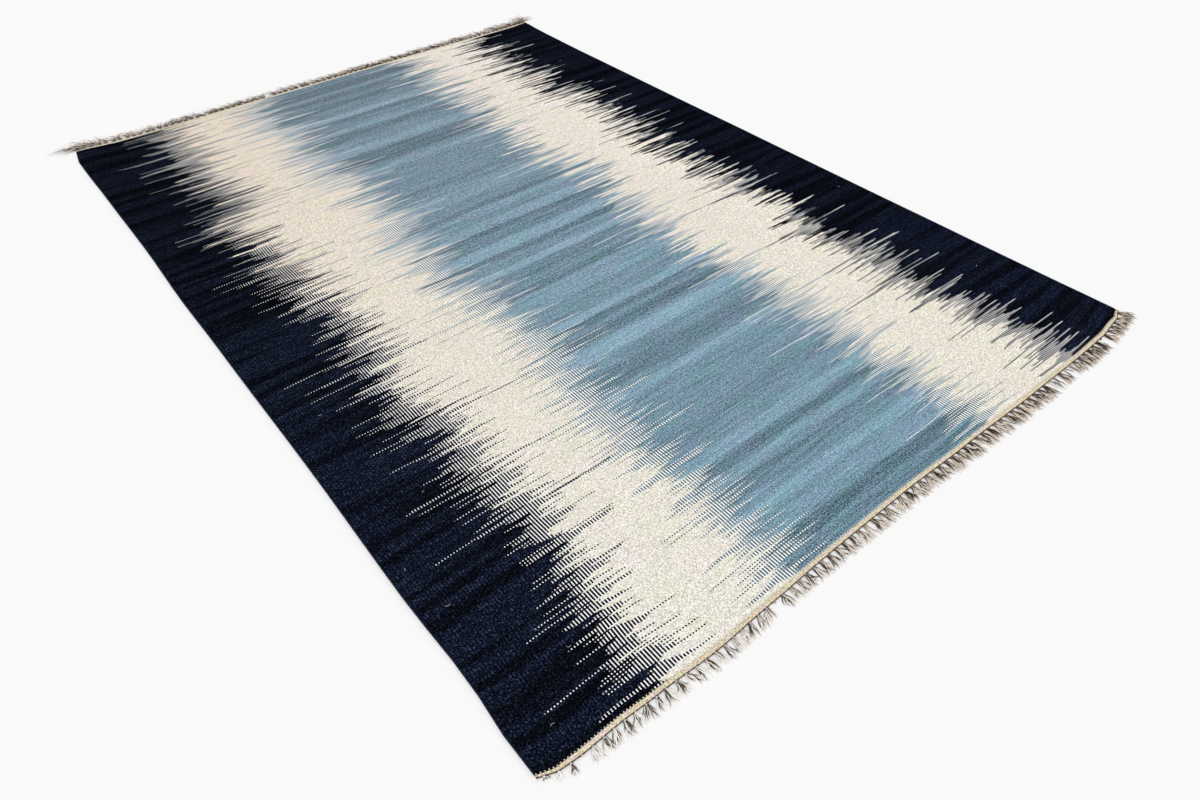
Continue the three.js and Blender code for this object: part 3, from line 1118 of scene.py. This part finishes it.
# A round yarn along a curve, with closed ends.
def sweepYarn(line, radius, sides, scale=1.0):
    inputs = {"Curve": line, "Profile Curve": circle(radius, sides), "Scale": scale}
    return geo("SetShadeSmooth", {"Geometry": geo("CurveToMesh", {**inputs, "Fill Caps": True})})


# A mesh line as a curve with a point at every step.
def evenLine(line, step):
    curve = geo("MeshToCurve", {"Mesh": line})
    return geo("ResampleCurve", {"Curve": curve, "Length": step}, mode="LENGTH")


def linePiece(points):
    return addMesh("line", points, edges=[(i, i + 1) for i in range(len(points) - 1)])


# Headings: a narrow band of undyed picks past each end of the dyed weave

heading = {
    "thickness": 0.0026,
    "rows": 8,
    "relief": 0.22 * mm,
    "under": -0.4,  # the relief where a pick goes under, as a share
    "edgeRound": 0.7,
    "stepsPerWarp": 2,
}


def makeHeading(name, inner, outer, side):
    perWarp = heading["stepsPerWarp"]
    stepCount = round(kilim["width"] / kilim["warpPitch"]) * perWarp
    step = np.arange(stepCount + 1)
    x = inner[0, 0] + (inner[-1, 0] - inner[0, 0]) * (step / stepCount)
    innerY = lineAt(inner, x)
    outerY = lineAt(outer, x)
    radius = heading["thickness"] / 2
    rows = heading["rows"]
    bend = heading["edgeRound"]
    level = np.linspace(0, 1, rows + 1)
    flat = np.ones(rows + 1)
    # In a ring the top runs outwards, then comes a round outer edge and the underside.
    band = np.concatenate([level, [1, 1, 1], level[::-1], [0]])
    outward = np.concatenate([flat * 0, [bend, 1, bend], flat * 0, [0]])
    height = np.concatenate([flat, [bend, 0, -bend], -flat, [0]])
    row = np.concatenate([np.arange(rows + 1), np.zeros(rows + 5)])
    onTop = np.concatenate([flat, np.zeros(rows + 5)])
    stepGrid, bandGrid = np.meshgrid(step, band, indexing="ij")
    xGrid = x[stepGrid]
    inset = radius * bend
    reach = (outerY - side * inset - innerY)[stepGrid]
    yGrid = innerY[stepGrid] + reach * bandGrid + side * inset * outward
    overUnder = np.where((stepGrid // perWarp + row) % 2 == 0, 1.0, heading["under"]) * onTop
    overUnder *= np.where(stepGrid % perWarp == 0, 0.0, 1.0)  # level between the warps
    zGrid = radius + height * radius + overUnder * heading["relief"]
    zGrid = np.maximum(zGrid, 0) + liftArray(xGrid, yGrid)
    points = np.stack([xGrid, yGrid, zGrid], -1).reshape(-1, 3)
    faces = loftFaces(len(step), len(band), [tuple(range(len(band)))])
    if side > 0:
        faces = [tuple(reversed(face)) for face in faces]
    piece = addMesh(name, points, faces)
    piece.data.materials.append(headingMaterial)
    return piece


headingNear = makeHeading("headingNear", nearInner, nearOuter, -1)
headingFar = makeHeading("headingFar", farInner, farOuter, 1)
print("headings made")


# Twined thread: two dark strands twisted together along each heading, over every knot, dark enough to
# stand in as painted shade under the heading's edge as well

thread = {
    "strand": 0.78 * mm,
    "apart": 0.9,  # of a strand's radius, from the middle of the thread
    "twist": 4.6 * mm,
    "step": 0.62 * mm,
    "sides": 5,
    "level": 2.1 * mm,
    "wave": 0.4 * mm,  # it rises over each knot
    "scallop": 0.7 * mm,  # and is drawn in between knots
    "outward": 0.3 * mm,
    "pointsPerKnot": 4,
}


def makeTwineTree():
    given, end = geometryGroup("twined thread", {
        "Strand Radius": thread["strand"],
        "Twist Length": thread["twist"],
        "Step": thread["step"],
    })
    tree = end.id_data
    turn = alongCurve(tree, "Length") / given["Twist Length"] * math.tau
    line = evenLine(given["Geometry"], given["Step"])
    line = geo("SetCurveTilt", {"Curve": line, "Tilt": turn})
    strand = circle(given["Strand Radius"], thread["sides"])
    profile = newNode("GeometryNodeJoinGeometry", tree=tree)
    for side in (-1, 1):
        aside = vector(given["Strand Radius"] * (side * thread["apart"]))
        moved = geo("Transform", {"Geometry": strand, "Translation": aside})
        feed(tree, profile.inputs["Geometry"], moved)
    sweep = {"Curve": line, "Profile Curve": output(profile), "Fill Caps": True}
    return finishGeometry(end, geo("CurveToMesh", sweep), given["Material"])


twineTree = makeTwineTree()


def makeThread(name, outer, side):
    points = []
    for here, beyond in zip(outer[:-1], outer[1:]):
        for part in range(thread["pointsPerKnot"]):
            share = part / thread["pointsPerKnot"]
            x, y = here + (beyond - here) * share
            y -= side * (math.sin(math.pi * share) * thread["scallop"] - thread["outward"])
            z = thread["level"] + thread["wave"] * math.cos(math.tau * share) + liftAt(x, y)
            points.append((x, y, z))
    points.append((*outer[-1], thread["level"]))
    return runNodes(name, linePiece(points), twineTree, {"Material": threadAndShadeMaterial})


threadNear = makeThread("threadNear", nearOuter, -1)
threadFar = makeThread("threadFar", farOuter, 1)


# Fringe: the warps, knotted in bundles past the thread, with their loose ends on the floor

fringe = {
    "bareNear": (4, 24, 77),  # knots, counted from the left, that have lost their ends
    "bareFar": (31,),
    "knotRadius": 1.75 * mm,
    "knotTaper": 0.8,
    "knotHeight": 3.4 * mm,
    "knotYarn": 0.62 * mm,
    "knotTurns": 2.5,
    "knotSteps": 12,  # per turn
    "knotOut": 1.6 * mm,  # from the heading's outer line to the middle of the knot
    "swing": 6,  # degrees, how far each bundle's lean is from the table's
    "swingStep": 2.4,
    "points": 9,
    "sides": 5,
}
# Which way the ends lean (degrees towards +X), how far they reach out, how many they are, how
# dark, and how high they arch, by place across. Lengths are in mm.
endColumns = "across lean reach ends tone lift"
nearEnds = chart(endColumns, [
    (-840, -10, 6, 4, 0.0, 1.0),
    (-805, -22, 15, 10, 0.05, 1.0),
    (-775, -18, 23, 13, 0.15, 1.5),
    (-740, -4, 26, 15, 0.2, 1.5),
    (-650, -14, 26, 15, 0.2, 1.5),
    (-550, 15, 27, 15, 0.3, 1.5),
    (-470, -2, 27, 15, 0.4, 1.5),
    (-400, -20, 26, 15, 0.45, 1.5),
    (-300, 10, 28, 16, 0.55, 1.5),
    (0, 0, 30, 18, 0.7, 2.0),
    (240, 18, 35, 20, 0.8, 2.0),
    (470, 4, 35, 20, 0.85, 2.0),
    (487, 2, 33, 4, 0.25, 2.0),
    (510, 2, 33, 4, 0.25, 2.0),
    (528, 6, 34, 18, 0.9, 2.0),
    (545, 0, 32, 4, 0.25, 2.0),
    (567, 0, 32, 4, 0.25, 2.0),
    (585, 4, 34, 19, 0.9, 2.0),
    (640, 4, 35, 20, 0.9, 2.0),
    (760, 26, 32, 20, 0.9, 2.0),
    (840, 33, 37, 20, 0.9, 2.0),
])
farEnds = chart(endColumns, [
    (-840, -50, 92, 28, 0.5, 9.0),
    (-812, -36, 86, 26, 0.55, 8.0),
    (-775, -18, 62, 19, 0.75, 6.0),
    (-700, -4, 53, 16, 0.8, 4.0),
    (-620, 8, 54, 16, 0.9, 3.0),
    (-300, -7, 52, 16, 0.95, 3.0),
    (60, 9, 54, 17, 1.0, 3.0),
    (420, -5, 52, 17, 0.85, 3.0),
    (660, 8, 54, 17, 0.82, 4.0),
    (770, 20, 62, 20, 0.9, 6.0),
    (810, 28, 76, 28, 0.9, 8.0),
    (840, 36, 86, 34, 0.85, 9.0),
])


# A column of one of these tables at a place across, easing from each row to the next.
def atPlace(table, column, x):
    across = (x - rugMiddle.x) / mm
    places = [row["across"] for row in table]
    index = int(np.clip(np.searchsorted(places, across) - 1, 0, len(table) - 2))
    first = table[index]
    second = table[index + 1]
    share = ease((across - first["across"]) / (second["across"] - first["across"]))
    return first[column] + (second[column] - first[column]) * share


# How a loose yarn runs from its knot to its tip. By is the share of its reach where a change ends.
yarnRun = {
    "curlStart": 1.3,
    "curlSlows": 0.6,
    "wave": 0.09,
    "waveLength": 5.0,
    "waveStart": 7.0,
    "longest": 1.1,
    "spreadFrom": 0.1,
    "spreadBy": 0.5,
    "piledBy": 0.25,
    "pileThins": 0.55,
    "settledBy": 0.4,
    "tipThins": 0.6,
}


def makeTasselTree():
    given, end = geometryGroup("tassels", {
        "Side": 1.0,
        "Root Spread": 4.0 * mm,
        "Spread": 5.6 * mm,
        "Fan": 0.12,
        "Stray": 0.12,
        "Curl": 0.5,
        "Shortest": 0.6,
        "Pile": 2.6 * mm,
        "Yarn Radius": 0.8 * mm,
        "Taper From": 0.7,
        "Start Height": 2.0 * mm,
        "Seed": 1.0,
    })
    tree = end.id_data
    bundle = {"Geometry": given["Geometry"], "Amount": attribute(tree, "ends")}
    roots = geo("DuplicateElements", bundle, domain="POINT")
    draws = {
        "fanPlace": (-1.0, 1.0),
        "turn": (-1.0, 1.0),
        "curl": (-1.0, 1.0),
        "own": (0.0, 1.0),
        "level": (0.0, 1.0),
        "span": (given["Shortest"], yarnRun["longest"]),
    }
    for index, (name, limits) in enumerate(draws.items()):
        roots = store(roots, name, chance(*limits, given["Seed"] + index))
    straight = {"Start": (0.0, 0.0, 0.0), "End": (0.0, 0.0, 1 * mm)}
    stem = geo("CurvePrimitiveLine", straight, tree=tree, mode="POINTS")
    stem = geo("ResampleCurve", {"Curve": stem, "Count": fringe["points"]}, mode="COUNT")
    yarns = geo("InstanceOnPoints", {"Points": roots, "Instance": stem})
    yarns = geo("RealizeInstances", {"Geometry": yarns})
    p = alongCurve(tree, "Factor")
    yarns = store(yarns, "reachShare", p)
    carried = ("rootX", "rootY", "lean", "reach", "lift")
    own = {name: attribute(tree, name) for name in (*draws, *carried)}
    bend = own["curl"] * given["Curl"] * p * (p * -yarnRun["curlSlows"] + yarnRun["curlStart"])
    wave = (p * yarnRun["waveLength"] + own["turn"] * yarnRun["waveStart"]).calc("SINE")
    angle = own["lean"] + own["fanPlace"] * given["Fan"] + own["turn"] * given["Stray"]
    angle = angle + bend + wave * yarnRun["wave"]
    run = own["reach"] * own["span"] * p
    spreading = p.rise(yarnRun["spreadFrom"], yarnRun["spreadBy"])
    spread = given["Root Spread"] + spreading * (given["Spread"] - given["Root Spread"])
    x = own["rootX"] + own["fanPlace"] * spread + angle.calc("SINE") * run
    y = own["rootY"] + angle.calc("COSINE") * run * given["Side"]
    pile = own["level"] * given["Pile"] * (p * -yarnRun["pileThins"] + 1)
    settle = p.rise(0.0, yarnRun["settledBy"]).fromOne() * given["Start Height"]
    arch = (p * math.pi).calc("SINE") * own["level"] * own["lift"]
    z = settle + pile * p.rise(0.0, yarnRun["piledBy"]) + arch + given["Yarn Radius"]
    yarns = geo("SetPosition", {"Geometry": yarns, "Position": vector(x, y, z)})
    taper = p.rise(given["Taper From"], 1.0) * -yarnRun["tipThins"] + 1
    shape = sweepYarn(yarns, given["Yarn Radius"], fringe["sides"], taper)
    return finishGeometry(end, shape, given["Material"])


tasselTree = makeTasselTree()


def knotPlaces(outer, side):
    places = outer[1:-1].copy()
    places[:, 1] += side * fringe["knotOut"]
    return places


def makeTassels(name, outer, side, table, bare, look):
    places = enumerate(knotPlaces(outer, side), 1)
    kept = [(index, x, y) for index, (x, y) in places if index not in bare]
    values = {column: [] for column in ("lean", "reach", "ends", "tone", "lift", "rootX", "rootY")}
    for index, x, y in kept:
        row = {column: atPlace(table, column, x) for column in table[0]}
        swing = fringe["swing"] * math.sin(index * fringe["swingStep"])
        row["lean"] = math.radians(row["lean"] + swing)
        row["reach"] *= mm
        row["lift"] *= mm
        row["ends"] = round(row["ends"])
        row.update(rootX=x, rootY=y)
        for column in values:
            values[column].append(row[column])
    source = addMesh("points", [(x, y, 0) for _, x, y in kept], values=values)
    return runNodes(name, source, tasselTree, {"Side": side, "Material": fringeMaterial, **look})


farLook = {
    "Seed": 47.0,
    "Root Spread": 2.8 * mm,
    "Spread": 8.0 * mm,
    "Fan": 0.35,
    "Curl": 0.8,
    "Shortest": 0.3,
    "Pile": 3.5 * mm,
    "Yarn Radius": 0.66 * mm,
    "Taper From": 0.35,
}
endsNear = makeTassels("endsNear", nearOuter, -1.0, nearEnds, fringe["bareNear"], {"Seed": 11.0})
endsFar = makeTassels("endsFar", farOuter, 1.0, farEnds, fringe["bareFar"], farLook)


def makeKnotTree():
    given, end = geometryGroup("knots", {
        "Knot Radius": fringe["knotRadius"],
        "Knot Height": fringe["knotHeight"],
        "Yarn Radius": fringe["knotYarn"],
    })
    coil = geo("CurveSpiral", {
        "Resolution": fringe["knotSteps"],
        "Rotations": fringe["knotTurns"],
        "Start Radius": given["Knot Radius"],
        "End Radius": given["Knot Radius"] * fringe["knotTaper"],
        "Height": given["Knot Height"],
    })
    down = vector(0.0, 0.0, given["Knot Height"] * -0.5)
    coil = geo("Transform", {"Geometry": coil, "Translation": down})
    knot = sweepYarn(coil, given["Yarn Radius"], fringe["sides"])
    turned = vector(math.pi / 2, 0.0, attribute(end.id_data, "lean"))
    placed = {"Points": given["Geometry"], "Instance": knot, "Rotation": turned}
    return finishGeometry(end, geo("InstanceOnPoints", placed), given["Material"])


knotTree = makeKnotTree()


def makeKnots(name, outer, side, table):
    places = knotPlaces(outer, side)
    points = [(x, y, fringe["knotRadius"] + fringe["knotYarn"]) for x, y in places]
    lean = [-side * math.radians(atPlace(table, "lean", x)) for x, _ in places]
    tone = [atPlace(table, "tone", x) for x, _ in places]
    source = addMesh("points", points, values={"lean": lean, "tone": tone})
    # knots hold no reach, so they take the fringe's painted root shade in full
    return runNodes(name, source, knotTree, {"Material": fringeMaterial})


knotsNear = makeKnots("knotsNear", nearOuter, -1, nearEnds)
knotsFar = makeKnots("knotsFar", farOuter, 1, farEnds)


# Selvedges: the navy weft wraps the outermost warp on each side, turn after turn

selvedge = {
    "radius": 1.35 * mm,
    "yarn": 0.85 * mm,
    "stepsPerTurn": 8,
    "sides": 4,
    "inset": 0.5 * mm,
    "points": 400,
    "leftOut": 3,  # of those points, at each end
}


def makeSelvedgeTree():
    given, end = geometryGroup("selvedge", {
        "Wrap Radius": selvedge["radius"],
        "Yarn Radius": selvedge["yarn"],
        "Pitch": kilim["pickPitch"],
    })
    line = evenLine(given["Geometry"], given["Pitch"] / selvedge["stepsPerTurn"])
    index = output(newNode("GeometryNodeInputIndex", tree=end.id_data))
    turn = index * (math.tau / selvedge["stepsPerTurn"])
    aside = turn.calc("COSINE") * given["Wrap Radius"]
    up = turn.calc("SINE") * given["Wrap Radius"]
    line = geo("SetPosition", {"Geometry": line, "Offset": vector(aside, 0.0, up)})
    shape = sweepYarn(line, given["Yarn Radius"], selvedge["sides"])
    return finishGeometry(end, shape, given["Material"])


selvedgeTree = makeSelvedgeTree()


def makeSelvedge(name, line, side):
    levels = np.linspace(nearLevel, farLevel, selvedge["points"])
    middle = selvedge["radius"] + selvedge["yarn"]
    points = []
    for y in levels[selvedge["leftOut"]:-selvedge["leftOut"]]:
        x = sideAt(line, y) - side * (middle - selvedge["inset"])
        points.append((x, y, middle + liftAt(x, y)))
    return runNodes(name, linePiece(points), selvedgeTree, {"Material": selvedgeMaterial})


selvedgeLeft = makeSelvedge("selvedgeLeft", leftSide, -1)
selvedgeRight = makeSelvedge("selvedgeRight", rightSide, 1)


# Lint: a few short pale threads that lie on the navy

lint = {"radius": 0.32 * mm, "points": 6, "sides": 4, "tipThins": 0.3}
# Each thread's middle and length in mm, its direction in degrees from +X, and how far it bends.
lintThreads = chart("across along length turn bend", [
    (-792, -880, 11, -10, 0.3),
    (-778, -1150, 9, 4, -0.4),
    (-682, -1067, 8, -24, 0.5),
    (-812, -772, 6, 65, 0.3),
    (-700, -640, 7, 30, -0.5),
    (-760, -330, 8, -5, 0.4),
    (742, -890, 9, 15, 0.3),
    (786, -420, 8, -35, -0.3),
])


def makeLint():
    points = []
    faces = []
    ring = loftFaces(lint["points"], lint["sides"], [tuple(range(lint["sides"]))])
    angles = np.arange(lint["sides"]) * math.tau / lint["sides"]
    for one in lintThreads:
        place = rugMiddle.to_2d() + Vector((one["across"], one["along"])) * mm
        start = len(points)
        for part in np.linspace(-1, 1, lint["points"]):
            angle = math.radians(one["turn"]) + one["bend"] * part
            towards = Vector((math.cos(angle), math.sin(angle)))
            centre = place + towards * (part / 2 * one["length"] * mm)
            radius = lint["radius"] * (1 - lint["tipThins"] * part * part)
            level = kilim["thickness"] + liftAt(*centre) + lint["radius"]
            for side in angles:
                out = math.cos(side) * radius
                up = math.sin(side) * radius
                points.append((centre.x - towards.y * out, centre.y + towards.x * out, level + up))
        faces += [tuple(start + corner for corner in reversed(face)) for face in ring]
    piece = addMesh("lint", points, faces)
    piece.data.materials.append(lintMaterial)
    return piece


lintPiece = makeLint()


# Stage: a plain pale floor and soft studio light

studio = {
    "floorSize": 40.0,
    "floorShade": 0.86,
    "floorChange": 0.004,
    "floorPatches": 0.8,  # per metre
    "worldStrength": 0.72,
    "sunStrength": 1.52,
    "sunSpread": 35,  # degrees, as is the tip
    "sunTip": (28, -24),
}


def makeStage():
    half = studio["floorSize"] / 2
    corners = [(-half, -half, 0), (half, -half, 0), (half, half, 0), (-half, half, 0)]
    floor = addMesh("floor", corners, [(0, 1, 2, 3)])
    material, tree = newMaterial("pale floor", roughness=0.9, specular=0.1)
    x, y, _ = (part * studio["floorPatches"] for part in objectPlace(tree))
    shade = drift(x, y, detail=2.0) * studio["floorChange"]
    shades = dict.fromkeys(("Red", "Green", "Blue"), shade + studio["floorShade"])
    colour = output(newNode("ShaderNodeCombineColor", shades))
    floor.data.materials.append(finishMaterial(material, colour))
    world = bpy.data.worlds.new("studio")
    world.use_nodes = True
    background = world.node_tree.nodes["Background"]
    background.inputs["Color"].default_value = (1.0, 1.0, 1.0, 1.0)
    background.inputs["Strength"].default_value = studio["worldStrength"]
    scene.world = world
    sun = bpy.data.objects.new("softLight", bpy.data.lights.new("softLight", "SUN"))
    sun.data.energy = studio["sunStrength"]
    sun.data.angle = math.radians(studio["sunSpread"])
    sun.rotation_euler = (*(math.radians(angle) for angle in studio["sunTip"]), 0)
    scene.collection.objects.link(sun)


makeStage()
print("stage made")

finishes = {
    "weave": [cloth, selvedgeLeft, selvedgeRight, lintPiece],
    "undyed": [headingNear, headingFar, threadNear, threadFar],
    "warp_ends": [knotsNear, knotsFar, endsNear, endsFar],
}
for slot, pieces in finishes.items():
    for piece in pieces:
        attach(piece, "root")
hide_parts("cloth")
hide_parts("heading_near")
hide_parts("heading_far")
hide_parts("fringe_near")
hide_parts("fringe_far")
